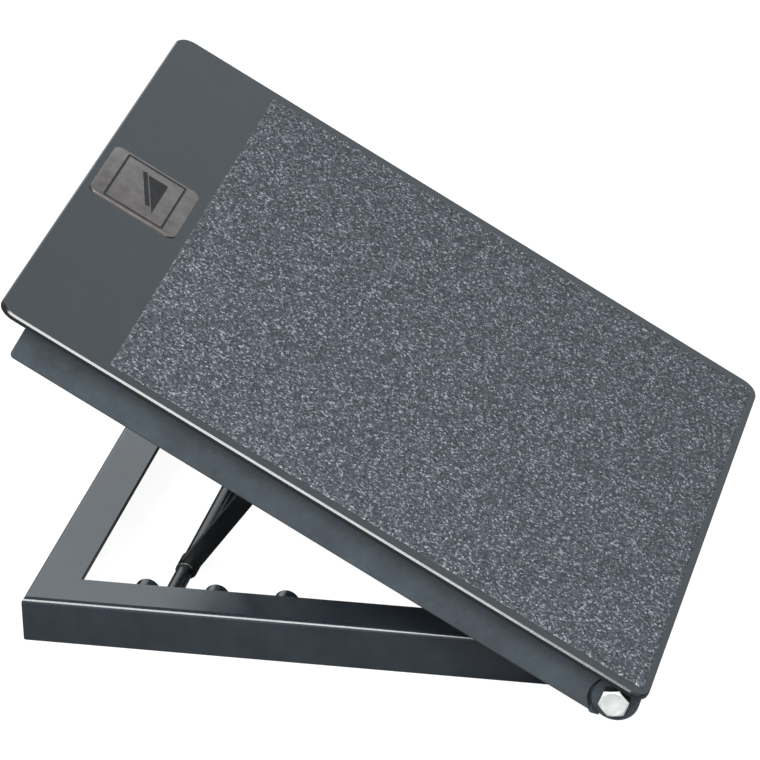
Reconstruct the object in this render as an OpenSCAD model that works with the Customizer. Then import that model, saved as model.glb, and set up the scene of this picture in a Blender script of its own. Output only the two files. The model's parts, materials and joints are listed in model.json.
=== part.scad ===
// Slant board: a sloping foot deck on a folding frame of welded steel angle.
//
// The upper frame carries the deck and turns on two bolts at the low end of
// the base frame. A prop hangs from lugs under the deck. Its foot rod stands
// on the floor and leans on a pair of stop pegs, so each pair of pegs gives
// one slope. With the prop folded up, the deck drops flat around the base.
//
// Millimetres. +Z is up, -X is the high end, the hinge bolts lie along Y.
// "near" is the -Y side and "far" is the +Y side.

// Which sub-part to draw

/* [Deck] */
// Length of the deck plate down the slope
deck_length = 381; // [375:0.5:390]
// Width of the deck plate
deck_width = 355.6; // [350:0.2:370]
// Thickness of the deck plate
deck_thickness = 3.2; // [2:0.1:5]
// Corner radius of the deck plate
deck_corner_r = 10; // [4:0.1:20]
// How far the deck plate runs past the hinge bolts
deck_toe = 12; // [8:0.5:12.5]
// How far the deck plate stands out beyond the upper frame on each side
deck_overhang = 9.8; // [8.5:0.1:16]
// Slope of the deck above the floor in the stored pose
deck_slope = 30.9; // [30:0.1:32]

/* [Grip sheet and nameplate] */
// Length of the gritty grip sheet
grip_length = 314; // [250:1:330]
// Width of the grip sheet
grip_width = 340; // [250:1:344]
// Thickness of the grip sheet
grip_thickness = 1; // [0.5:0.1:2]
// Gap between the grip sheet and the low edge of the deck
grip_toe_gap = 4; // [2:0.5:10]
// Length of the nameplate down the slope
plate_length = 52.5; // [30:0.5:54]
// Width of the nameplate
plate_width = 56; // [30:0.5:120]
// Thickness of the nameplate
plate_thickness = 0.8; // [0.5:0.1:1.5]
// Gap between the nameplate and the high edge of the deck
plate_gap = 4.5; // [3:0.5:6]

/* [Steel angle] */
// Width of each side of the steel angle
angle_w = 25.4; // [25.4:0.1:25.6]
// Thickness of the steel angle
angle_t = 3.2; // [2.5:0.1:3.5]
// Outside radius of the bend in the steel angle
angle_heel_r = 3; // [2:0.1:4]
// Radius on the lower outside edge of the steel angle
angle_toe_r = 1.8; // [1:0.1:2.4]

/* [Frames] */
// Distance from the hinge bolts to the outer face of the base end rail
base_reach = 321.6; // [318:0.1:323]
// Clear gap between a base side rail and the upper side rail beside it
nest_gap = 6.6; // [5:0.1:8]
// Distance from the high edge of the deck to the upper end rail
deck_lip = 17; // [16:0.5:20]
// Radius ground on the lower corners at the high end of the upper frame
high_corner_r = 4; // [2:0.1:6]
// How far in from the side that grinding reaches
high_corner_depth = 6; // [4:0.1:10]
// Distance from the hinge bolts to the base low rail
low_rail_inset = 25.4; // [24:0.1:28]
// Height of the hinge bolts above the floor
hinge_z = 13.1; // [13.05:0.01:13.3]

/* [Hinge hardware] */
// Diameter of the hinge bolts
bolt_d = 9.525; // [9.525:0.005:9.535]
// Length of the hinge bolts under the head
bolt_length = 50.8; // [50.8:0.1:56]
// Width across the flats of the bolt heads and nuts
hex_flats = 14.29; // [14:0.01:14.5]
// Height of a bolt head
bolt_head_h = 6; // [5:0.1:6.2]
// Height of a lock nut
nut_h = 11.6; // [9:0.1:12]
// Outside diameter of the flat washers
washer_d = 24.8; // [20:0.1:24.8]
// Thickness of the flat washers
washer_t = 2.1; // [1.5:0.1:2.4]
// How far the outer washers lie in from the outer faces of the upper frame
washer_recess = 2.5; // [1:0.1:3]
// Outside diameter of the hinge knuckles
knuckle_d = 25; // [24:0.1:25.4]
// Open seam between a knuckle and the hollowed end of its rail
knuckle_seam = 1.7; // [0.5:0.1:2.5]
// Outside diameter of the spacers between the frames
spacer_d = 19; // [16:0.5:22]

/* [Stop pegs] */
// Number of pegs on each side
peg_count = 3; // [3:1:3]
// Diameter of a peg
peg_d = 14; // [12:0.1:14]
// Distance the pegs stand out past the inner edges of the base side rails
peg_length = 24.6; // [20:0.1:26]
// Distance from the hinge bolts to the last pair of pegs
peg_reach = 267; // [266.9:0.1:268]
// Distance between neighbouring pegs
peg_pitch = 38.1; // [36:0.1:40]
// Height of the peg axes above the floor
peg_z = 8.6; // [8.4:0.1:8.8]

/* [Prop] */
// Distance from the hinge bolts to the prop pivot, along the deck
pivot_reach = 199; // [197:0.5:201]
// Distance from the hinge bolts to the prop's foot rod, along the floor
foot_reach = 255; // [254.6:0.1:255]
// Diameter of the foot rod
foot_rod_d = 9; // [8.6:0.1:9]
// Length of the foot rod
foot_rod_length = 214; // [200:1:216]
// Depth of the prop's arms, seen from the side
arm_depth = 9.5; // [8:0.1:11]
// Thickness of the prop's arms
arm_thickness = 9.5; // [6:0.1:10]
// Distance from the middle of the board to the outer face of each arm
arm_face_y = 56; // [40:1:60]
// Diameter of the round eye at the foot of each arm
arm_eye_d = 11.6; // [11:0.1:12.4]
// Distance the eyes sit past the foot rod, towards the hinge
arm_toe_shift = 1.2; // [0.5:0.1:2]
// Outside diameter of the prop's pivot tube
pivot_tube_d = 14.3; // [12.7:0.1:15]
// Length of the prop's pivot tube
pivot_tube_length = 129; // [124:1:130]
// Diameter of the pivot rod
pivot_rod_d = 9.525; // [9.525:0.005:9.535]
// Width of the lugs that carry the pivot rod
lug_w = 20; // [16:0.5:22]
// Thickness of the lugs
lug_t = 4.8; // [4:0.1:6]

/* [Hidden] */
// Facets for circles; every one is carried over as a true round.
$fn = 96;
// Margin by which cutting shapes run past what they cut.
cut = 1;
// Radial clearance of a shaft that turns in its bore.
running_gap = 0.05;
// Radial clearance of a bolt in a plain hole.
loose_gap = 0.4;
// Sideways play between the turning upper frame and the parts beside it.
side_play = 0.15;
// Lift of the foot rod off the floor, so that it never cuts into it.
foot_lift = 0.05;
// Turn of the bolt heads as they were left when tightened.
hex_turn = 6;

half_deck = deck_width / 2;
upper_half_w = half_deck - deck_overhang;
upper_inner_y = upper_half_w - angle_w;
base_half_w = upper_inner_y - nest_gap;
base_inner_y = base_half_w - angle_w;
base_leg_y = base_half_w - angle_t;
upper_leg_y = upper_half_w - angle_t;
upper_reach = deck_length - deck_toe - deck_lip;
deck_top = angle_w / 2 + deck_thickness;
// The toe of the deck plate is the furthest point on the low side, and the
// base end rail is the furthest on the high side. The hinge is placed so
// that the whole board is centred on the origin.
toe_x = deck_toe * cos(deck_slope) + deck_top * sin(deck_slope);
hinge_x = (base_reach - toe_x) / 2;
// The rounded ends of the base rails sit a little back from the bolts, so
// that the underside of the deck clears them all the way round.
base_end_setback = 0.5;
bolt_r = bolt_d / 2;
hex_r = hex_flats / 2 / cos(30);
knuckle_r = knuckle_d / 2;
pivot_x = hinge_x - pivot_reach * cos(deck_slope);
pivot_z = hinge_z + pivot_reach * sin(deck_slope);
foot_x = hinge_x - foot_reach;
foot_z = foot_rod_d / 2 + foot_lift;
arm_end_x = foot_x + arm_toe_shift;
arm_end_z = arm_eye_d / 2 + foot_lift;
arm_length = norm([pivot_x - arm_end_x, pivot_z - arm_end_z]);
arm_turn = 180 - atan2(pivot_z - arm_end_z, pivot_x - arm_end_x);
lug_inner_y = pivot_tube_length / 2 + 0.5;
lug_outer_y = lug_inner_y + lug_t;
ring_t = 1.1;
ring_groove_r = pivot_rod_d / 2 - 0.7;
ring_play = 0.3;
ring_y = lug_outer_y + ring_play;
pivot_rod_half = ring_y + ring_t + 2.5;

black_paint = [0.13, 0.14, 0.15];
grip_grey = [0.36, 0.38, 0.42];
bronze_grey = [0.55, 0.52, 0.46];
zinc = [0.78, 0.79, 0.8];
bare_steel = [0.5, 0.5, 0.52];

// ---------------------------------------------------------------- helpers

// Everything is drawn for the far side, and mirrored for the near side.
module near_side() {
    mirror([0, 1, 0]) children();
}

// Origin at the hinge axis, level with the floor.
module at_hinge() {
    translate([hinge_x, 0, hinge_z]) children();
}

// Origin at the hinge axis. X runs down the slope and Z stands off the deck.
module deck_frame() {
    at_hinge() rotate([0, deck_slope, 0]) children();
}

// Origin at the prop pivot. X runs down the arms to the foot.
module prop_frame() {
    translate([pivot_x, 0, pivot_z]) rotate([0, arm_turn, 0]) children();
}

// Turns a shape drawn along Z so that it lies along Y and starts at y.
module along_y(y) {
    translate([0, y, 0]) rotate([-90, 0, 0]) children();
}

// A plain round bar along Y, between two Y values.
module bar_y(r, y0, y1) {
    along_y(y0) cylinder(r = r, h = y1 - y0);
}

module rounded_rect(w, h, r) {
    square([w - 2 * r, h], center = true);
    square([w, h - 2 * r], center = true);
    for (sx = [-1, 1], sy = [-1, 1]) {
        translate([sx * (w / 2 - r), sy * (h / 2 - r)]) circle(r);
    }
}

// The steel angle, middled on the origin: the outer face is at x > 0, the
// flat side is on top, and the open side faces -x and -y.
module angle_section() {
    half = angle_w / 2;
    inner = angle_w - angle_t;
    difference() {
        union() {
            translate([-half, -half + angle_toe_r]) {
                square([angle_w, angle_w - angle_toe_r - angle_heel_r]);
            }
            translate([-half, half - angle_heel_r]) square([angle_w - angle_heel_r, angle_heel_r]);
            translate([-half, -half]) square([angle_w - angle_toe_r, angle_toe_r]);
            translate([half - angle_heel_r, half - angle_heel_r]) circle(angle_heel_r);
            translate([half - angle_toe_r, angle_toe_r - half]) circle(angle_toe_r);
        }
        translate([-half - cut, -half - cut]) square([inner + cut, inner + cut]);
    }
}

// A side rail for the far side, with its middle on y = 0. It starts at a
// mitre at x = -reach and ends square at x = 0.
module side_rail(reach) {
    difference() {
        translate([-reach, 0, 0]) rotate([90, 0, 90]) linear_extrude(reach) angle_section();
        side_mitre_cut(reach);
    }
}

// The upright side of a side rail's end: a full round about x = 0.
module rounded_leg_end() {
    bar_y(angle_w / 2, angle_w / 2 - angle_t, angle_w / 2);
}

module side_mitre_cut(reach) {
    far = angle_w / 2 + cut;
    translate([0, 0, -far]) linear_extrude(2 * far) {
        polygon([
            [-reach - 3 * cut, angle_w / 2 + 3 * cut],
            [-reach + angle_w + cut, -far],
            [-reach - 3 * cut, -far]
        ]);
    }
}

// An end rail along Y, mitred at both ends. Its outer face lies on x = 0 and
// its middle on z = 0.
module end_rail(half_w) {
    difference() {
        translate([angle_w / 2, 0, 0]) along_y(-half_w) linear_extrude(2 * half_w) {
            rotate(180) angle_section();
        }
        for (side = [-1, 1]) {
            scale([1, side, 1]) end_mitre_cut(half_w);
        }
    }
}

module end_mitre_cut(half_w) {
    far = angle_w / 2 + cut;
    translate([0, 0, -far]) linear_extrude(2 * far) {
        polygon([
            [-cut, half_w + cut],
            [angle_w + cut, half_w - angle_w - cut],
            [angle_w + cut, half_w + cut]
        ]);
    }
}

module flat_washer(y0) {
    difference() {
        bar_y(washer_d / 2, y0, y0 + washer_t);
        bar_y(bolt_r + loose_gap, y0 - cut, y0 + washer_t + cut);
    }
}

// A hex block along Y with both ends chamfered to a circle, as a forged
// head or a nut is.
module hex_block(y0, height) {
    intersection() {
        along_y(y0) rotate([0, 0, hex_turn]) cylinder(r = hex_r, h = height, $fn = 6);
        bar_y(hex_r * 0.985, y0, y0 + height);
        along_y(y0) cylinder(r1 = hex_r * 1.6, r2 = hex_flats * 0.49, h = height * 1.02);
    }
}

// ------------------------------------------------------------- base frame

// The flat top stops short of the hinge, so that only the upright side with
// its rounded end reaches the bolt.
module base_side_rail() {
    flat_cutback = 17;
    color(black_paint) difference() {
        translate([hinge_x - base_end_setback, base_half_w - angle_w / 2, angle_w / 2]) {
            side_rail(base_reach - base_end_setback);
            rounded_leg_end();
        }
        translate([hinge_x - flat_cutback, base_inner_y - cut, -cut]) {
            cube([flat_cutback + cut, angle_w - angle_t + cut, angle_w + 2 * cut]);
        }
        at_hinge() bar_y(bolt_r + running_gap, base_leg_y - cut, base_half_w + cut);
    }
}

module base_rail_near() near_side() base_side_rail();
module base_rail_far() base_side_rail();

module base_rail_end() {
    color(black_paint) translate([hinge_x - base_reach, 0, angle_w / 2]) end_rail(base_half_w);
}

// The flat top fits between those of the side rails, and the upright side
// runs on below them to the uprights of the side rails.
module base_rail_low() {
    x = hinge_x - low_rail_inset - angle_w / 2;
    color(black_paint) translate([x, 0, angle_w / 2]) {
        along_y(-base_inner_y) linear_extrude(2 * base_inner_y) mirror([0, 1]) angle_section();
        translate([angle_w / 2 - angle_t, -base_leg_y, angle_toe_r - angle_w / 2]) {
            cube([angle_t, 2 * base_leg_y, angle_w - angle_t - angle_toe_r]);
        }
    }
}

module stop_pegs() {
    tip_chamfer = 0.8;
    color(black_paint) for (i = [0 : peg_count - 1]) {
        translate([hinge_x - peg_reach + i * peg_pitch, 0, peg_z]) {
            bar_y(peg_d / 2, base_inner_y - peg_length + tip_chamfer, base_leg_y);
            along_y(base_inner_y - peg_length) {
                cylinder(r1 = peg_d / 2 - tip_chamfer, r2 = peg_d / 2, h = tip_chamfer);
            }
        }
    }
}

module stop_pegs_near() near_side() stop_pegs();
module stop_pegs_far() stop_pegs();

// --------------------------------------------------------- hinge hardware

washer_outer_y = upper_half_w - washer_recess - washer_t;
head_y = washer_outer_y + washer_t;
bolt_tip_y = head_y - bolt_length;
washer_inner_y = base_leg_y - washer_t;
nut_y = washer_inner_y - nut_h;

module hinge_bolt() {
    tip_chamfer = 1.2;
    color(zinc) at_hinge() {
        hex_block(head_y, bolt_head_h);
        bar_y(bolt_r, bolt_tip_y + tip_chamfer, head_y + 0.5);
        along_y(bolt_tip_y) cylinder(r1 = bolt_r - tip_chamfer, r2 = bolt_r, h = tip_chamfer);
    }
}

module hinge_bolt_near() near_side() hinge_bolt();
module hinge_bolt_far() hinge_bolt();

module hinge_washer_outer() {
    color(black_paint) at_hinge() flat_washer(washer_outer_y);
}

module hinge_washer_outer_near() near_side() hinge_washer_outer();
module hinge_washer_outer_far() hinge_washer_outer();

module hinge_spacer() {
    spacer_end = upper_inner_y - side_play;
    color(black_paint) at_hinge() difference() {
        bar_y(spacer_d / 2, base_half_w, spacer_end);
        bar_y(bolt_r + loose_gap, base_half_w - cut, spacer_end + cut);
    }
}

module hinge_spacer_near() near_side() hinge_spacer();
module hinge_spacer_far() hinge_spacer();

module hinge_washer_inner() {
    color(zinc) at_hinge() flat_washer(washer_inner_y);
}

module hinge_washer_inner_near() near_side() hinge_washer_inner();
module hinge_washer_inner_far() hinge_washer_inner();

module hinge_nut() {
    collar_h = 3;
    color(zinc) at_hinge() difference() {
        union() {
            translate([0, 2 * nut_y + nut_h, 0]) mirror([0, 1, 0]) {
                hex_block(nut_y, nut_h - collar_h);
            }
            bar_y(hex_flats * 0.46, nut_y, nut_y + collar_h + 0.5);
        }
        bar_y(bolt_r, nut_y - cut, nut_y + nut_h + cut);
    }
}

module hinge_nut_near() near_side() hinge_nut();
module hinge_nut_far() hinge_nut();

// A round knuckle that turns on the bolt. Its shank is welded inside the
// angle of the rail behind it, and a web backs the seam round the knuckle.
module hinge_knuckle() {
    shank_reach = 40;
    shank_w = 13;
    shank_h = 2 * (angle_w / 2 - angle_t);
    web_t = 5;
    web_drop = knuckle_r - 0.1;
    knuckle_end = washer_outer_y - side_play;
    color(black_paint) deck_frame() difference() {
        union() {
            bar_y(knuckle_r, upper_inner_y, knuckle_end);
            translate([-shank_reach, upper_leg_y - shank_w, -shank_h / 2]) {
                cube([shank_reach - knuckle_r - 4, shank_w, shank_h]);
            }
            translate([-shank_reach, knuckle_end - web_t, -web_drop]) {
                cube([shank_reach, web_t, web_drop + shank_h / 2]);
            }
        }
        bar_y(bolt_r + running_gap, upper_inner_y - cut, knuckle_end + cut);
    }
}

module hinge_knuckle_near() near_side() hinge_knuckle();
module hinge_knuckle_far() hinge_knuckle();

// ------------------------------------------------------------ upper frame

// What is ground off the lower corner at the high end of the upper frame.
module high_corner_cut() {
    start_y = upper_half_w - high_corner_depth;
    translate([-upper_reach, 0, -angle_w / 2]) difference() {
        translate([-cut, start_y, -cut]) {
            cube([high_corner_r + cut, high_corner_depth + cut, high_corner_r + cut]);
        }
        translate([high_corner_r, 0, high_corner_r]) {
            bar_y(high_corner_r, start_y - cut, upper_half_w + 2 * cut);
        }
    }
}

// The rail's end is hollowed round the knuckle.
module upper_side_rail() {
    color(black_paint) deck_frame() difference() {
        translate([0, upper_half_w - angle_w / 2, 0]) side_rail(upper_reach);
        bar_y(knuckle_r + knuckle_seam, upper_inner_y - cut, upper_half_w + cut);
        high_corner_cut();
    }
}

module upper_rail_near() near_side() upper_side_rail();
module upper_rail_far() upper_side_rail();

module upper_rail_end() {
    color(black_paint) deck_frame() difference() {
        translate([-upper_reach, 0, 0]) end_rail(upper_half_w);
        high_corner_cut();
        mirror([0, 1, 0]) high_corner_cut();
    }
}

module deck_plate() {
    color(black_paint) deck_frame() {
        translate([deck_toe - deck_length / 2, 0, angle_w / 2]) linear_extrude(deck_thickness) {
            rounded_rect(deck_length, deck_width, deck_corner_r);
        }
    }
}

module grip_sheet() {
    corner_r = 6;
    color(grip_grey) deck_frame() {
        translate([deck_toe - grip_toe_gap - grip_length / 2, 0, deck_top]) {
            linear_extrude(grip_thickness) rounded_rect(grip_length, grip_width, corner_r);
        }
    }
}

module nameplate() {
    corner_r = 5;
    x = deck_toe - deck_length + plate_gap + plate_length / 2;
    color(bronze_grey) deck_frame() {
        translate([x, 0, deck_top]) linear_extrude(plate_thickness) {
            rounded_rect(plate_length, plate_width, corner_r);
        }
    }
}

// ---------------------------------------------------- prop and its pivot

module prop_lug() {
    rise = angle_w / 2;
    color(black_paint) deck_frame() translate([-pivot_reach, 0, 0]) difference() {
        union() {
            bar_y(lug_w / 2, lug_inner_y, lug_outer_y);
            translate([-lug_w / 2, lug_inner_y, 0]) cube([lug_w, lug_t, rise]);
        }
        bar_y(pivot_rod_d / 2 + running_gap, lug_inner_y - cut, lug_outer_y + cut);
    }
}

module prop_lug_near() near_side() prop_lug();
module prop_lug_far() prop_lug();

module prop_pivot_rod() {
    color(bare_steel) deck_frame() translate([-pivot_reach, 0, 0]) {
        bar_y(pivot_rod_d / 2, -ring_y, ring_y);
        for (side = [-1, 1]) scale([1, side, 1]) {
            bar_y(ring_groove_r, ring_y - 0.5, ring_y + ring_t + 0.5);
            bar_y(pivot_rod_d / 2, ring_y + ring_t, pivot_rod_half);
        }
    }
}

module prop_retaining_rings() {
    ring_r = 8;
    mouth = ring_groove_r * 1.6;
    color(zinc) deck_frame() translate([-pivot_reach, 0, 0]) {
        for (side = [-1, 1]) scale([1, side, 1]) difference() {
            bar_y(ring_r, ring_y, ring_y + ring_t);
            bar_y(ring_groove_r, ring_y - cut, ring_y + ring_t + cut);
            translate([-mouth / 2, ring_y - cut, -ring_r - cut]) {
                cube([mouth, ring_t + 2 * cut, ring_r + cut]);
            }
        }
    }
}

module prop_arm() {
    color(black_paint) difference() {
        prop_frame() translate([0, arm_face_y - arm_thickness, 0]) {
            bar_from_pivot();
        }
        translate([pivot_x, 0, pivot_z]) {
            bar_y(pivot_tube_d / 2, arm_face_y - 2 * arm_thickness, arm_face_y + cut);
        }
        translate([foot_x, 0, foot_z]) {
            bar_y(foot_rod_d / 2, arm_face_y - 2 * arm_thickness, arm_face_y + cut);
        }
    }
}

// A bar that starts at the pivot axis and has a round eye at its lower end.
module bar_from_pivot() {
    translate([0, 0, -arm_depth / 2]) cube([arm_length, arm_thickness, arm_depth]);
    translate([arm_length, 0, 0]) bar_y(arm_eye_d / 2, 0, arm_thickness);
}

module prop_arm_near() near_side() prop_arm();
module prop_arm_far() prop_arm();

module prop_pivot_tube() {
    half = pivot_tube_length / 2;
    color(black_paint) translate([pivot_x, 0, pivot_z]) difference() {
        bar_y(pivot_tube_d / 2, -half, half);
        bar_y(pivot_rod_d / 2 + running_gap, -half - cut, half + cut);
    }
}

module prop_foot_rod() {
    half = foot_rod_length / 2;
    end_chamfer = 1;
    color(black_paint) translate([foot_x, 0, foot_z]) {
        bar_y(foot_rod_d / 2, end_chamfer - half, half - end_chamfer);
        for (side = [-1, 1]) scale([1, side, 1]) along_y(half - end_chamfer) {
            cylinder(r1 = foot_rod_d / 2, r2 = foot_rod_d / 2 - end_chamfer, h = end_chamfer);
        }
    }
}

// ---------------------------------------------------------------- drawing

base_rail_near();
base_rail_far();
base_rail_end();
base_rail_low();
stop_pegs_near();
stop_pegs_far();
hinge_bolt_near();
hinge_bolt_far();
hinge_washer_outer_near();
hinge_washer_outer_far();
hinge_spacer_near();
hinge_spacer_far();
hinge_washer_inner_near();
hinge_washer_inner_far();
hinge_nut_near();
hinge_nut_far();
deck_plate();
grip_sheet();
nameplate();
upper_rail_near();
upper_rail_far();
upper_rail_end();
hinge_knuckle_near();
hinge_knuckle_far();
prop_lug_near();
prop_lug_far();
prop_pivot_rod();
prop_retaining_rings();
prop_arm_near();
prop_arm_far();
prop_pivot_tube();
prop_foot_rod();
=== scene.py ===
"""Slant board: looks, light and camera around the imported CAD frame."""

import json
import math
import random

import bmesh
import bpy
from mathutils import Matrix, Vector, noise


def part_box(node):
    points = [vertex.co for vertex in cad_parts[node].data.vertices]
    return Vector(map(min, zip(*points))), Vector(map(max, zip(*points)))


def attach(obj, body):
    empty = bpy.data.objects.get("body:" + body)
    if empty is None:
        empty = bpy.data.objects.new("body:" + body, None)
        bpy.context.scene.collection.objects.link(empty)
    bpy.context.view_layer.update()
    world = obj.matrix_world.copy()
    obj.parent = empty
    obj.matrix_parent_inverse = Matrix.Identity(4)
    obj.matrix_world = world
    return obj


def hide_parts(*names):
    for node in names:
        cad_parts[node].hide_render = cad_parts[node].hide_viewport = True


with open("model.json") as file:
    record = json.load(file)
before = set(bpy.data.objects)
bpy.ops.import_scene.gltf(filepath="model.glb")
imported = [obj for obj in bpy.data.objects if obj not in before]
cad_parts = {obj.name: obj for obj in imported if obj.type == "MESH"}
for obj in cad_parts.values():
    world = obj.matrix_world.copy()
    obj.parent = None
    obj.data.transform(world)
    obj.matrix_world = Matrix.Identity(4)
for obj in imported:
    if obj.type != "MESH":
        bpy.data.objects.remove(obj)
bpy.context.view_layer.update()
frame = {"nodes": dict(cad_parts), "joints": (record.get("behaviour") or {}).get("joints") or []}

MM = 0.001
NODES = frame["nodes"]
JOINTS = {joint["name"]: joint for joint in frame["joints"]}

# ------------------------------------------------------------------ places
# Every place comes from the joints, the boxes of the CAD nodes and these sizes.

HINGE = Vector(JOINTS["deck_tilt"]["pos_m"])
PIVOT = Vector(JOINTS["prop_swing"]["pos_m"])
PIVOT_REACH = (PIVOT - HINGE).length
# The deck lies flat at the tilt joint's lower limit, so that limit is the slope.
SLOPE = math.radians(-JOINTS["deck_tilt"]["range_deg"][0])
# In this frame X runs down the slope and Z stands off the deck.
DECK = Matrix.Translation(HINGE) @ Matrix.Rotation(SLOPE, 4, "Y")

# The steel angle's width and thickness.
ANGLE = 25.4 * MM
ANGLE_T = 3.2 * MM

# The deck plate. Its toe runs past the hinge, its lip and overhang past the upper frame.
PLATE_LENGTH = 381 * MM
PLATE_WIDTH = 355.6 * MM
PLATE_THICKNESS = 3.2 * MM
PLATE_CORNER = 10 * MM
PLATE_TOE = 12 * MM
PLATE_LIP = 17 * MM
PLATE_OVERHANG = 9.8 * MM
DECK_TOP = ANGLE / 2 + PLATE_THICKNESS

# The grip sheet, with its gap to the plate's low edge.
GRIP_LENGTH = 314 * MM
GRIP_WIDTH = 340 * MM
GRIP_HEIGHT = 1.0 * MM
GRIP_TOE_GAP = 4 * MM

# The nameplate, with its gap to the plate's high edge.
LABEL_LENGTH = 52.5 * MM
LABEL_WIDTH = 56 * MM
LABEL_HEIGHT = 0.8 * MM
LABEL_CORNER = 5 * MM
LABEL_GAP = 4.5 * MM

# The upper frame: from the hinge to its high end, and from the middle to its outer face.
UPPER_REACH = PLATE_LENGTH - PLATE_TOE - PLATE_LIP
UPPER_HALF_W = PLATE_WIDTH / 2 - PLATE_OVERHANG
LUG_WIDTH = 20 * MM

# Bolts and nuts: 3/8 inch, 16 threads to the inch.
BOLT_R = 9.525 / 2 * MM
HEX_FLATS = 14.29 * MM
HEX_TURN = math.radians(37)
HEAD_HEIGHT = 6 * MM
THREAD_PITCH = 25.4 / 16 * MM
THREAD_LENGTH = 22 * MM


# --------------------------------------------------------------- materials

def new_material(name):
    """An empty node material and short cuts to its tree and its shader."""
    material = bpy.data.materials.new(name)
    material.use_nodes = True
    tree = material.node_tree
    shader = tree.nodes["Principled BSDF"]
    return material, tree, shader


def object_coords(tree):
    """Coordinates fixed to the piece, in metres."""
    return tree.nodes.new("ShaderNodeTexCoord").outputs["Object"]


def noise_value(tree, coords, scale, detail, roughness):
    """Cloudy noise from 0 to 1."""
    node = tree.nodes.new("ShaderNodeTexNoise")
    node.inputs["Scale"].default_value = scale
    node.inputs["Detail"].default_value = detail
    node.inputs["Roughness"].default_value = roughness
    tree.links.new(coords, node.inputs["Vector"])
    return node.outputs["Fac"]


def ramp(tree, value, stops):
    """A colour ramp through (position, colour) stops."""
    node = tree.nodes.new("ShaderNodeValToRGB")
    elements = node.color_ramp.elements
    while len(elements) < len(stops):
        elements.new(0.5)
    for element, (position, colour) in zip(elements, stops):
        element.position = position
        element.color = (*colour, 1.0)
    tree.links.new(value, node.inputs["Fac"])
    return node.outputs["Color"]


def span(tree, value, low, high):
    """Maps 0..1 onto low..high."""
    node = tree.nodes.new("ShaderNodeMapRange")
    node.inputs["To Min"].default_value = low
    node.inputs["To Max"].default_value = high
    tree.links.new(value, node.inputs["Value"])
    return node.outputs["Result"]


def add_bump(tree, shader, height, distance, strength):
    """Roughens the shader's surface by up to the distance."""
    node = tree.nodes.new("ShaderNodeBump")
    node.inputs["Strength"].default_value = strength
    node.inputs["Distance"].default_value = distance
    tree.links.new(height, node.inputs["Height"])
    tree.links.new(node.outputs["Normal"], shader.inputs["Normal"])


def paint(name, colour, roughness, smear=0.06):
    """Glossy powder coat: nearly black, faintly clouded and smeared, with orange peel."""
    material, tree, shader = new_material(name)
    coords = object_coords(tree)
    clouds = noise_value(tree, coords, scale=40.0, detail=9.0, roughness=0.8)
    dark = tuple(0.65 * c for c in colour)
    light = tuple(1.35 * c for c in colour)
    tree.links.new(ramp(tree, clouds, [(0.3, dark), (0.7, light)]), shader.inputs["Base Color"])
    smears = noise_value(tree, coords, scale=70.0, detail=6.0, roughness=0.7)
    tree.links.new(
        span(tree, smears, roughness - smear, roughness + 2 * smear), shader.inputs["Roughness"])
    shader.inputs["IOR"].default_value = 1.6
    peel = noise_value(tree, coords, scale=500.0, detail=4.0, roughness=0.6)
    add_bump(tree, shader, peel, distance=0.08 * MM, strength=0.4)
    return material


def grit_material():
    """Coarse mineral grit in dark resin: pale, mid and black grains."""
    material, tree, shader = new_material("grit")
    coords = object_coords(tree)
    grains = tree.nodes.new("ShaderNodeTexVoronoi")
    grains.inputs["Scale"].default_value = 950.0
    tree.links.new(coords, grains.inputs["Vector"])
    grain = tree.nodes.new("ShaderNodeSeparateColor")
    tree.links.new(grains.outputs["Color"], grain.inputs["Color"])
    colour = ramp(tree, grain.outputs["Red"], [
        (0.0, (0.008, 0.0095, 0.012)),
        (0.45, (0.0215, 0.0255, 0.0315)),
        (0.8, (0.049, 0.053, 0.063)),
        (1.0, (0.18, 0.19, 0.21)),
    ])
    tree.links.new(colour, shader.inputs["Base Color"])
    tree.links.new(span(tree, grain.outputs["Green"], 0.25, 0.7), shader.inputs["Roughness"])
    add_bump(tree, shader, grains.outputs["Distance"], distance=0.3 * MM, strength=0.8)
    return material


def metal(name, colour, roughness, clouding=0.1, scratch_scale=400.0, metallic=1.0):
    """Bare or plated metal, clouded and finely scratched."""
    material, tree, shader = new_material(name)
    coords = object_coords(tree)
    clouds = noise_value(tree, coords, scale=150.0, detail=3.0, roughness=0.6)
    dark = tuple((1 - clouding) * c for c in colour)
    tree.links.new(ramp(tree, clouds, [(0.35, dark), (0.65, colour)]), shader.inputs["Base Color"])
    shader.inputs["Metallic"].default_value = metallic
    scratches = noise_value(tree, coords, scratch_scale, detail=4.0, roughness=0.7)
    tree.links.new(
        span(tree, scratches, roughness * 0.7, roughness * 1.4), shader.inputs["Roughness"])
    add_bump(tree, shader, scratches, distance=0.04 * MM, strength=0.5)
    return material


# One black powder coat in lit and shaded copies: painted light and shade make the upper frame
# palest, the base darker, and the deck and the prop darkest.
DECK_PAINT_SHADED = paint("deck_paint_shaded", (0.0035, 0.0045, 0.0055), 0.18)
UPPER_PAINT_LIT = paint("upper_paint_lit", (0.034, 0.042, 0.0495), 0.18)
BASE_PAINT_SHADED = paint("base_paint_shaded", (0.011, 0.0152, 0.0195), 0.17)
PROP_PAINT_SHADED = paint("prop_paint_shaded", (0.004, 0.005, 0.006), 0.24)
WELD = paint("weld_paint", (0.02, 0.022, 0.022), 0.16, smear=0.03)
GRIT = grit_material()
ZINC = metal("zinc_plate", (0.85, 0.87, 0.84), 0.5, clouding=0.25, metallic=0.7)
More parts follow.
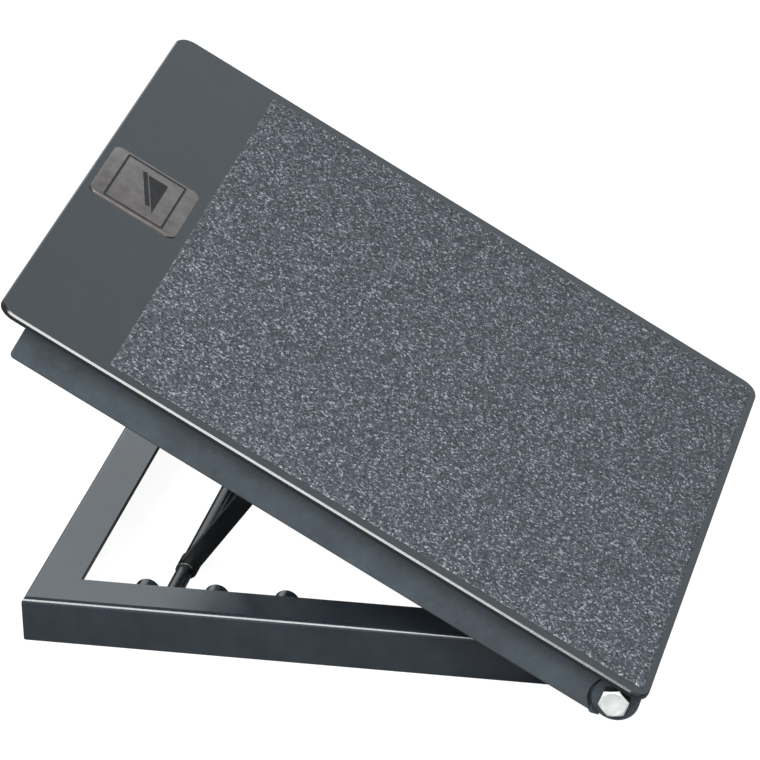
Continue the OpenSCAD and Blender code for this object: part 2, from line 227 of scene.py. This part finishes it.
# A dark copy of the zinc: painted shade for the sides of the bolts.
SHADED_ZINC = metal("shaded_zinc", (0.11, 0.1, 0.085), 0.5, clouding=0.4)
STEEL = metal("oiled_steel", (0.42, 0.42, 0.44), 0.35)
BRONZE = metal("label_metal", (0.25, 0.222, 0.207), 0.45, clouding=0.25, scratch_scale=1500.0)
INK = metal("label_ink", (0.05, 0.048, 0.048), 0.5, clouding=0.3, scratch_scale=1500.0)
NYLON = paint("nylon", (0.5, 0.52, 0.5), 0.45)


# ------------------------------------------------------------ mesh helpers

def finish_mesh(name, bm, material, body, smooth_angle=35.0):
    """Turns a bmesh into a piece that rides on a body, sharp above an angle in degrees."""
    bmesh.ops.recalc_face_normals(bm, faces=bm.faces)
    mesh = bpy.data.meshes.new(name)
    bm.to_mesh(mesh)
    bm.free()
    piece = bpy.data.objects.new(name, mesh)
    bpy.context.scene.collection.objects.link(piece)
    mesh.materials.append(material)
    mesh.shade_smooth()
    mesh.set_sharp_from_angle(angle=math.radians(smooth_angle))
    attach(piece, body)
    return piece


def skin(bm, rings):
    """Joins rings of points into a tube and closes both ends."""
    rows = [[bm.verts.new(point) for point in ring] for ring in rings]
    for low, high in zip(rows, rows[1:]):
        count = len(low)
        for i in range(count):
            j = (i + 1) % count
            bm.faces.new((low[i], low[j], high[j], high[i]))
    bm.faces.new(list(reversed(rows[0])))
    bm.faces.new(rows[-1])


def rounded_outline(length, width, radius):
    """Points of a rounded rectangle around the origin, counter-clockwise."""
    steps = 8
    points = []
    for turn, (sx, sy) in enumerate([(1, 1), (-1, 1), (-1, -1), (1, -1)]):
        cx = sx * (length / 2 - radius)
        cy = sy * (width / 2 - radius)
        for i in range(steps + 1):
            angle = math.pi / 2 * (turn + i / steps)
            points.append((cx + radius * math.cos(angle), cy + radius * math.sin(angle)))
    return points


def stacked_plate(bm, place, length, width, corner, levels):
    """A plate with rounded corners, from pairs of inset and height going up."""
    rings = []
    for inset, z in levels:
        outline = rounded_outline(length - 2 * inset, width - 2 * inset, corner - inset)
        rings.append([place @ Vector((x, y, z)) for x, y in outline])
    skin(bm, rings)


def steps_between(start, end, count):
    """Evenly spaced values, both ends included."""
    return [start + (end - start) * i / count for i in range(count + 1)]


# -------------------------------------------------------- carried-over CAD

def repaint(material, *names):
    """Gives CAD nodes a material."""
    for name in names:
        NODES[name].data.materials[0] = material


def soften(width, *names):
    """Rounds the sharp edges of CAD nodes."""
    for name in names:
        bevel = NODES[name].modifiers.new("soften", "BEVEL")
        bevel.width = width
        bevel.segments = 3
        bevel.limit_method = "ANGLE"
        bevel.angle_limit = math.radians(40)
        bevel.harden_normals = True


repaint(BASE_PAINT_SHADED, "base_rail_near", "base_rail_far", "base_rail_end", "base_rail_low",
        "stop_pegs_near", "stop_pegs_far", "hinge_spacer_near", "hinge_spacer_far")
repaint(UPPER_PAINT_LIT, "upper_rail_near", "upper_rail_far", "upper_rail_end",
        "hinge_knuckle_near", "hinge_knuckle_far", "hinge_washer_outer_near",
        "hinge_washer_outer_far", "prop_lug_near", "prop_lug_far", "deck_plate")
repaint(PROP_PAINT_SHADED, "prop_arm_near", "prop_arm_far", "prop_pivot_tube", "prop_foot_rod")
repaint(STEEL, "prop_pivot_rod")
repaint(ZINC, "hinge_washer_inner_near", "hinge_washer_inner_far", "prop_retaining_rings")

soften(0.7 * MM, "prop_arm_near", "prop_arm_far", "prop_lug_near", "prop_lug_far")
soften(0.4 * MM, "hinge_washer_outer_near", "hinge_washer_outer_far",
       "hinge_washer_inner_near", "hinge_washer_inner_far", "prop_retaining_rings")


# -------------------------------------------------------------- deck plate

def make_deck():
    """A sheared plate: bevelled along the top edge, slightly rounded underneath."""
    bevel = 1.3 * MM
    bevel_angle = math.radians(39)
    inset = bevel * math.sin(bevel_angle)
    drop = bevel * math.cos(bevel_angle)
    under_r = 0.4 * MM
    levels = [
        (under_r, 0), (0.3 * under_r, 0.3 * under_r), (0, under_r),
        (0, PLATE_THICKNESS - drop), (inset, PLATE_THICKNESS),
    ]
    place = DECK @ Matrix.Translation((PLATE_TOE - PLATE_LENGTH / 2, 0, ANGLE / 2))
    bm = bmesh.new()
    stacked_plate(bm, place, PLATE_LENGTH, PLATE_WIDTH, PLATE_CORNER, levels)
    piece = finish_mesh("deck_plate_pressed", bm, DECK_PAINT_SHADED, "deck_frame")
    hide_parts("deck_plate")


make_deck()


# -------------------------------------------------------------- grip sheet

def make_grip():
    """A sheet of grit: every grain is a raised point of the mesh."""
    pitch = 1.0 * MM
    lowest = 0.35
    spread = 0.6
    # Above 1, there are more low grains than high ones.
    unevenness = 1.5
    rim_jitter = 0.25 * pitch
    grain_jitter = 0.3 * pitch
    random.seed(7)
    columns = round(GRIP_LENGTH / pitch)
    rows = round(GRIP_WIDTH / pitch)
    x0 = PLATE_TOE - GRIP_TOE_GAP - GRIP_LENGTH
    y0 = -GRIP_WIDTH / 2
    bm = bmesh.new()
    grid = []
    for i in range(columns + 1):
        line = []
        for j in range(rows + 1):
            x = x0 + i * pitch
            y = y0 + j * pitch
            if i in (0, columns) or j in (0, rows):
                z = 0.0
                jitter = rim_jitter
            else:
                z = GRIP_HEIGHT * (lowest + spread * random.random() ** unevenness)
                jitter = grain_jitter
            x += random.uniform(-jitter, jitter)
            y += random.uniform(-jitter, jitter)
            line.append(bm.verts.new(DECK @ Vector((x, y, DECK_TOP + z))))
        grid.append(line)
    for i in range(columns):
        for j in range(rows):
            bm.faces.new((grid[i][j], grid[i + 1][j], grid[i + 1][j + 1], grid[i][j + 1]))
    piece = finish_mesh("grip_grit", bm, GRIT, "deck_frame", smooth_angle=0.0)
    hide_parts("grip_sheet")


make_grip()


# --------------------------------------------------------------- nameplate

def prism(bm, place, outline, low, high):
    """A flat shape between two heights, from a counter-clockwise outline."""
    skin(bm, [[place @ Vector((x, y, z)) for x, y in outline] for z in (low, high)])


def bar_outline(start, end, width):
    """The outline of a straight stroke between two points."""
    start = Vector(start)
    end = Vector(end)
    side = (end - start).orthogonal().normalized() * width / 2
    return [start - side, end - side, end + side, start + side]


def make_label():
    """A metal plate with a raised border, and a wedge with a bar along its slope."""
    x = PLATE_TOE - PLATE_LENGTH + LABEL_GAP + LABEL_LENGTH / 2
    place = DECK @ Matrix.Translation((x, 0, DECK_TOP))
    edge_r = 0.3 * MM
    levels = [
        (0, 0), (0, LABEL_HEIGHT - edge_r),
        (0.3 * edge_r, LABEL_HEIGHT - 0.3 * edge_r), (edge_r, LABEL_HEIGHT),
    ]
    bm = bmesh.new()
    stacked_plate(bm, place, LABEL_LENGTH, LABEL_WIDTH, LABEL_CORNER, levels)
    piece = finish_mesh("nameplate_plain", bm, BRONZE, "deck_frame")
    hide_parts("nameplate")

    low = LABEL_HEIGHT - 0.1 * MM
    high = LABEL_HEIGHT + 0.12 * MM
    half_x = 17.5 * MM
    half_y = 25.3 * MM
    border = 1.3 * MM
    wedge = [(9 * MM, -17 * MM), (9 * MM, 17 * MM), (-3 * MM, 17 * MM)]
    bar = bar_outline((-5.5 * MM, 18 * MM), (5 * MM, -12 * MM), 2.6 * MM)
    bm = bmesh.new()
    for side in (-1, 1):
        for start, end in (((side * half_x, -half_y), (side * half_x, half_y)),
                           ((-half_x, side * half_y), (half_x, side * half_y))):
            prism(bm, place, bar_outline(start, end, border), low, high)
    prism(bm, place, wedge, low, high)
    prism(bm, place, bar, low, high)
    piece = finish_mesh("nameplate_marks", bm, INK, "deck_frame")


make_label()


# ---------------------------------------------------------------- hardware

# How fast a chamfer on a head or a nut runs outwards, per unit of height.
CHAMFER = 1.75
# Two rings this far apart make a sharp step in a turned shape.
STEP = 0.01 * MM


def lathe(bm, place, levels, radius_at, steps):
    """Rings at the given heights, with a radius that depends on height and angle."""
    rings = []
    for z in levels:
        ring = []
        for i in range(steps):
            angle = 2 * math.pi * i / steps
            r = radius_at(z, angle)
            ring.append(place @ Vector((r * math.cos(angle), r * math.sin(angle), z)))
        rings.append(ring)
    skin(bm, rings)


def hex_radius(angle):
    """The radius of the hexagon of a head or a nut at an angle."""
    sector = (angle + math.pi / 6) % (math.pi / 3) - math.pi / 6
    return HEX_FLATS / 2 / math.cos(sector)


def side_place(side):
    """Local Z runs outwards along the hinge, on the side given by -1 (near) or 1 (far)."""
    outward = Matrix.Rotation(math.radians(-90 * side), 4, "X")
    return Matrix.Translation(HINGE) @ outward @ Matrix.Rotation(HEX_TURN, 4, "Z")


def reach_along_hinge(node):
    """A node's nearest and furthest distances from the board's middle, along the hinge."""
    low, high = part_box(node)
    return sorted((abs(low[1]), abs(high[1])))


def make_bolt(side, label):
    """A hex bolt with a washer face, a chamfered head and a rolled thread."""
    tip, head_top = reach_along_hinge("hinge_bolt_" + label)
    under_head = head_top - HEAD_HEIGHT
    thread_end = tip + THREAD_LENGTH
    washer_face_height = 0.4 * MM
    washer_face_r = 0.48 * HEX_FLATS
    top_circle_r = 0.455 * HEX_FLATS
    thread_depth = 0.85 * MM
    tip_chamfer = 1.2 * MM
    place = side_place(side)

    def head(z, angle):
        rise = z - under_head
        if rise < washer_face_height:
            return washer_face_r
        return min(hex_radius(angle), top_circle_r + CHAMFER * (HEAD_HEIGHT - rise))

    def shank(z, angle):
        if z > thread_end:
            return BOLT_R
        phase = (z / THREAD_PITCH + side * angle / (2 * math.pi)) % 1.0
        run_out = min(1.0, (thread_end - z) / THREAD_PITCH)
        groove = thread_depth * (1 - abs(2 * phase - 1)) * run_out
        taper = max(0.0, tip_chamfer - (z - tip))
        return BOLT_R - max(groove, taper)

    bm = bmesh.new()
    levels = [under_head, under_head + washer_face_height - STEP]
    levels += steps_between(under_head + washer_face_height, head_top, 20)
    lathe(bm, place, levels, head, 120)
    levels = steps_between(tip, thread_end, 110) + [under_head + 0.2 * MM]
    lathe(bm, place, levels, shank, 32)
    piece = finish_mesh("bolt_" + label, bm, ZINC, "base_frame", 28.0)
    # Painted shade: the sides of the bolt get a dark copy of the zinc, so only the faces across
    # the bolt are bright.
    piece.data.materials.append(SHADED_ZINC)
    for face in piece.data.polygons:
        if abs(face.normal.y) < 0.3:
            face.material_index = 1
    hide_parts("hinge_bolt_" + label)


def make_nut(side, label):
    """A lock nut: a chamfered hex, a round collar and its nylon ring."""
    inner, outer = reach_along_hinge("hinge_nut_" + label)
    collar = inner + 3 * MM
    collar_r = 0.46 * HEX_FLATS
    collar_crown = 1.2 * MM
    hex_corner_r = 0.48 * HEX_FLATS
    insert_r = 0.37 * HEX_FLATS
    insert_edge_r = 0.35 * HEX_FLATS
    insert_levels = [inner - 0.35 * MM, inner - 0.15 * MM, inner + 0.5 * MM]
    place = side_place(side)

    def body(z, angle):
        if z <= collar:
            drop = max(0.0, collar_crown - (z - inner))
            return collar_r - 0.9 * drop
        chamfer = min(outer - z, z - collar)
        return min(hex_radius(angle), hex_corner_r + CHAMFER * chamfer)

    def insert(z, angle):
        return insert_edge_r if z == insert_levels[0] else insert_r

    bm = bmesh.new()
    levels = steps_between(inner, collar, 8) + steps_between(collar + STEP, outer, 24)
    lathe(bm, place, levels, body, 120)
    piece = finish_mesh("nut_" + label, bm, ZINC, "base_frame", 28.0)
    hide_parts("hinge_nut_" + label)

    bm = bmesh.new()
    lathe(bm, place, insert_levels, insert, 48)
    piece = finish_mesh("nut_insert_" + label, bm, NYLON, "base_frame")


for side, label in ((-1, "near"), (1, "far")):
    make_bolt(side, label)
    make_nut(side, label)


# ------------------------------------------------------------------- welds

BEAD_STEP = 0.35 * MM
RIPPLE_PITCH = 1.5 * MM
RIPPLE_SIZE = 0.22


def bead(bm, path, radius):
    """A weld bead along a path of points, rippled as its puddles froze."""
    sides = 10
    lump_scale = 900
    last = len(path) - 1
    rings = []
    travelled = 0.0
    for i, point in enumerate(path):
        before = path[max(i - 1, 0)]
        after = path[min(i + 1, last)]
        along = (after - before).normalized()
        if i > 0:
            travelled += (point - path[i - 1]).length
        across = along.orthogonal().normalized()
        upward = along.cross(across)
        wave = (travelled / RIPPLE_PITCH) % 1.0
        lumps = 0.25 * noise.noise(point * lump_scale)
        size = radius * (1 + RIPPLE_SIZE * (wave - 0.6 + lumps))
        # The bead tapers over its first and last three rings.
        size *= min(1.0, 0.45 + 0.2 * min(i, last - i))
        ring = []
        for k in range(sides):
            angle = 2 * math.pi * k / sides
            offset = across * math.cos(angle) + upward * math.sin(angle)
            ring.append(point + offset * size)
        rings.append(ring)
    skin(bm, rings)


def line_path(start, end):
    """Points along a straight seam."""
    start = Vector(start)
    end = Vector(end)
    count = max(4, round((end - start).length / BEAD_STEP))
    return [start.lerp(end, i / count) for i in range(count + 1)]


def arc_path(centre, radius, start, end):
    """An arc about the Y axis, between two angles in degrees from +X towards +Z."""
    count = max(8, round(abs(math.radians(end - start)) * radius / BEAD_STEP))
    points = []
    for degrees in steps_between(start, end, count):
        angle = math.radians(degrees)
        points.append(Vector(centre) + Vector((math.cos(angle), 0, math.sin(angle))) * radius)
    return points


def weld(name, body, radius, paths, place=Matrix.Identity(4)):
    """One piece with a bead along each path."""
    bm = bmesh.new()
    for path in paths:
        bead(bm, [place @ point for point in path], radius)
    piece = finish_mesh(name, bm, WELD, body, 50.0)


def weld_base():
    """Beads across the high corners' inner edges and down the corners inside the angle."""
    low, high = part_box("base_rail_end")
    low_rail_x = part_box("base_rail_low")[1][0]
    inner_x = low[0] + ANGLE
    inner_y = high[1] - ANGLE
    leg_y = high[1] - ANGLE_T
    leg_top = ANGLE - ANGLE_T
    # Far enough below the rails' top for the folded deck to clear it.
    corner_z = ANGLE - 1.6 * MM
    reach = 2.2 * MM
    overlap = 0.5 * MM
    paths = []
    for side in (-1, 1):
        paths.append(line_path(
            (inner_x - overlap, side * (inner_y + reach), corner_z),
            (inner_x + reach, side * (inner_y - overlap), corner_z)))
        for x, foot in ((low[0] + ANGLE_T, 1.5 * MM), (low_rail_x - ANGLE_T, 3 * MM)):
            paths.append(line_path((x, side * leg_y, foot), (x, side * leg_y, leg_top)))
    weld("welds_base", "base_frame", 1.5 * MM, paths)


def weld_pegs():
    """A bead round each peg where it meets its rail, open at the bottom near the floor."""
    low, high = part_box("stop_pegs_far")
    peg_r = (high[2] - low[2]) / 2
    pegs = 3
    pitch = (high[0] - low[0] - 2 * peg_r) / (pegs - 1)
    paths = []
    for side in (-1, 1):
        for i in range(pegs):
            centre = (low[0] + peg_r + i * pitch, side * high[1], low[2] + peg_r)
            paths.append(arc_path(centre, peg_r, -60, 240))
    weld("welds_pegs", "base_frame", 1.3 * MM, paths)


def weld_upper():
    """Beads in the high corners, stitches along the plate, and beads on shanks and lugs."""
    leg_y = UPPER_HALF_W - ANGLE_T
    inner_y = UPPER_HALF_W - ANGLE
    plate_v = ANGLE / 2
    inside_v = plate_v - ANGLE_T
    end_u = ANGLE_T - UPPER_REACH
    shank_y = leg_y - 13 * MM
    shank_start = -38 * MM
    shank_end = -18 * MM
    side_start = -35 * MM
    side_pitch = 55 * MM
    side_stitch = 22 * MM
    end_start = -115 * MM
    end_pitch = 65 * MM
    end_stitch = 25 * MM
    lug_low, lug_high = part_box("prop_lug_far")
    paths = []
    for side in (-1, 1):
        paths.append(line_path(
            (end_u, side * leg_y, -plate_v + 1.5 * MM), (end_u, side * leg_y, inside_v)))
        for i in range(6):
            u = side_start - i * side_pitch
            paths.append(line_path(
                (u, side * inner_y, plate_v), (u - side_stitch, side * inner_y, plate_v)))
        for v in (-inside_v, inside_v):
            paths.append(line_path(
                (shank_start, side * shank_y, v), (shank_end, side * shank_y, v)))
        for y in (lug_low[1], lug_high[1]):
            paths.append(line_path(
                (-PIVOT_REACH - LUG_WIDTH / 2, side * y, plate_v),
                (-PIVOT_REACH + LUG_WIDTH / 2, side * y, plate_v)))
    for i in range(4):
        y = end_start + i * end_pitch
        paths.append(line_path(
            (ANGLE - UPPER_REACH, y, plate_v), (ANGLE - UPPER_REACH, y + end_stitch, plate_v)))
    weld("welds_upper", "deck_frame", 1.3 * MM, paths, DECK)


def arc_points(radius, start, end):
    """Points round the hinge in deck coordinates, between two angles in degrees."""
    angles = [math.radians(degrees) for degrees in steps_between(start, end, 12)]
    return [(radius * math.cos(angle), radius * math.sin(angle)) for angle in angles]


def weld_knuckles():
    """Closes the lower end of each seam with weld ground down towards the washer."""
    knuckle_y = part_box("hinge_knuckle_far")[1][1]
    rail_arc_r = 14.4 * MM
    washer_arc_r = 12.45 * MM
    lower_edge = -12.2 * MM
    root = 4 * MM
    washer_face = 2.2 * MM
    rise = 2.3 * MM
    ramp_start = 2.5 * MM
    ramp_length = 4 * MM
    outline = arc_points(rail_arc_r, 232, 238)
    outline += [(u * MM, lower_edge) for u in (-6.6, -5.3, -4.0, -2.8)]
    outline += arc_points(washer_arc_r, 258, 232)
    bm = bmesh.new()
    for side in (-1, 1):
        place = DECK @ Matrix.Rotation(math.radians(-90 * side), 4, "X")
        back = []
        front = []
        for u, v in outline:
            slope = min(1.0, (-u - ramp_start) / ramp_length)
            face = knuckle_y + washer_face + rise * slope
            back.append(place @ Vector((u, -side * v, knuckle_y - root)))
            front.append(place @ Vector((u, -side * v, face)))
        skin(bm, [back, front])
    piece = finish_mesh("welds_knuckles", bm, UPPER_PAINT_LIT, "deck_frame", 30.0)


def weld_prop():
    """Beads where each face of the arms meets the foot rod and the pivot tube."""
    arm_low, arm_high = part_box("prop_arm_far")
    rod_low, rod_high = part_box("prop_foot_rod")
    tube_low, tube_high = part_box("prop_pivot_tube")
    foot = (rod_low + rod_high) / 2
    rod_r = (rod_high[0] - rod_low[0]) / 2
    tube_r = (tube_high[0] - tube_low[0]) / 2
    paths = []
    for side in (-1, 1):
        for y in (arm_low[1], arm_high[1]):
            paths.append(arc_path((foot.x, side * y, foot.z), rod_r, 20, 200))
            paths.append(arc_path((PIVOT.x, side * y, PIVOT.z), tube_r, 190, 290))
    weld("welds_prop", "prop", 0.9 * MM, paths)


weld_base()
weld_pegs()
weld_upper()
weld_knuckles()
weld_prop()


# ------------------------------------------------------------ stage, light

FLOOR_GREY = 0.15
FLOOR_GLOW = 0.95
FLOOR_HALF_SIZE = 30
FLOOR_Z = -0.2 * MM

ROOM_COLOUR = (0.9, 1.0, 1.08, 1)
ROOM_LIGHT = 0.85
CEILING_LIGHT = 0.15
# How far up a direction points, from 0 for level to 1 for straight up, where the room
# starts to darken and where it is as dark as the ceiling.
CEILING_START = 0.55
CEILING_FULL = 0.85

FRONT_LIGHT = 14.0
BACK_LIGHT = 0.6
# The lights' directions are seen from this height above the floor.
LIGHT_AIM_Z = 80 * MM


def make_stage():
    """A grey floor with a glow that only the camera sees, so it looks white."""
    material, tree, shader = new_material("floor")
    shader.inputs["Base Color"].default_value = (FLOOR_GREY, FLOOR_GREY, FLOOR_GREY, 1)
    shader.inputs["Roughness"].default_value = 0.9
    shader.inputs["Specular IOR Level"].default_value = 0.0
    shader.inputs["Emission Color"].default_value = (1, 1, 1, 1)
    rays = tree.nodes.new("ShaderNodeLightPath")
    glow = span(tree, rays.outputs["Is Camera Ray"], 0.0, FLOOR_GLOW)
    tree.links.new(glow, shader.inputs["Emission Strength"])
    bm = bmesh.new()
    bmesh.ops.create_grid(bm, x_segments=1, y_segments=1, size=FLOOR_HALF_SIZE)
    mesh = bpy.data.meshes.new("floor")
    bm.to_mesh(mesh)
    bm.free()
    floor = bpy.data.objects.new("floor", mesh)
    mesh.materials.append(material)
    bpy.context.scene.collection.objects.link(floor)
    floor.location.z = FLOOR_Z


def panel(name, direction, distance, size, radiance):
    """A soft rectangular light, placed in a direction seen from the board."""
    data = bpy.data.lights.new(name, "AREA")
    data.shape = "RECTANGLE"
    data.size, data.size_y = size
    data.energy = radiance * math.pi * size[0] * size[1]
    light = bpy.data.objects.new(name, data)
    towards = Vector(direction).normalized()
    light.location = towards * distance + Vector((0, 0, LIGHT_AIM_Z))
    light.rotation_euler = towards.to_track_quat("Z", "Y").to_euler()
    light.visible_camera = False
    bpy.context.scene.collection.objects.link(light)


def make_room():
    """A pale room with a dark ceiling, which the camera sees as plain white."""
    world = bpy.data.worlds.new("studio")
    bpy.context.scene.world = world
    world.use_nodes = True
    tree = world.node_tree
    background = tree.nodes["Background"]
    background.inputs["Color"].default_value = ROOM_COLOUR
    coords = tree.nodes.new("ShaderNodeTexCoord")
    direction = tree.nodes.new("ShaderNodeSeparateXYZ")
    tree.links.new(coords.outputs["Generated"], direction.inputs["Vector"])
    height = tree.nodes.new("ShaderNodeMapRange")
    height.inputs["From Min"].default_value = CEILING_START
    height.inputs["From Max"].default_value = CEILING_FULL
    height.inputs["To Min"].default_value = ROOM_LIGHT
    height.inputs["To Max"].default_value = CEILING_LIGHT
    tree.links.new(direction.outputs["Z"], height.inputs["Value"])
    rays = tree.nodes.new("ShaderNodeLightPath")
    backdrop = tree.nodes.new("ShaderNodeMix")
    backdrop.inputs["B"].default_value = 1.0
    tree.links.new(rays.outputs["Is Camera Ray"], backdrop.inputs["Factor"])
    tree.links.new(height.outputs["Result"], backdrop.inputs["A"])
    tree.links.new(backdrop.outputs["Result"], background.inputs["Strength"])


# ------------------------------------------------------------------ camera

CAMERA_PLACE = Vector((0.5777, -2.3736, 1.3148))
CAMERA_AIM = Vector((-0.0058, 0, 0.0994))
CAMERA_ROLL = math.radians(-2.04)
CAMERA_LENS = 242.43
CAMERA_SENSOR = 36.0


def make_camera():
    """A long lens in front of the board and to its low end, looking down on it."""
    data = bpy.data.cameras.new("camera")
    data.sensor_width = CAMERA_SENSOR
    data.lens = CAMERA_LENS
    data.clip_end = 50
    camera = bpy.data.objects.new("camera", data)
    turn = (CAMERA_PLACE - CAMERA_AIM).to_track_quat("Z", "Y").to_matrix().to_4x4()
    roll = Matrix.Rotation(CAMERA_ROLL, 4, "Z")
    camera.matrix_world = Matrix.Translation(CAMERA_PLACE) @ turn @ roll
    bpy.context.scene.collection.objects.link(camera)
    bpy.context.scene.camera = camera


make_stage()
make_room()
panel("front_box", direction=(0.07, -0.68, 0.73), distance=1.9, size=(2.3, 1.05),
      radiance=FRONT_LIGHT)
panel("back_panel", direction=(-0.30, 0.87, 0.42), distance=2.2, size=(1.15, 1.2),
      radiance=BACK_LIGHT)
make_camera()
bpy.context.scene.view_settings.view_transform = "Standard"
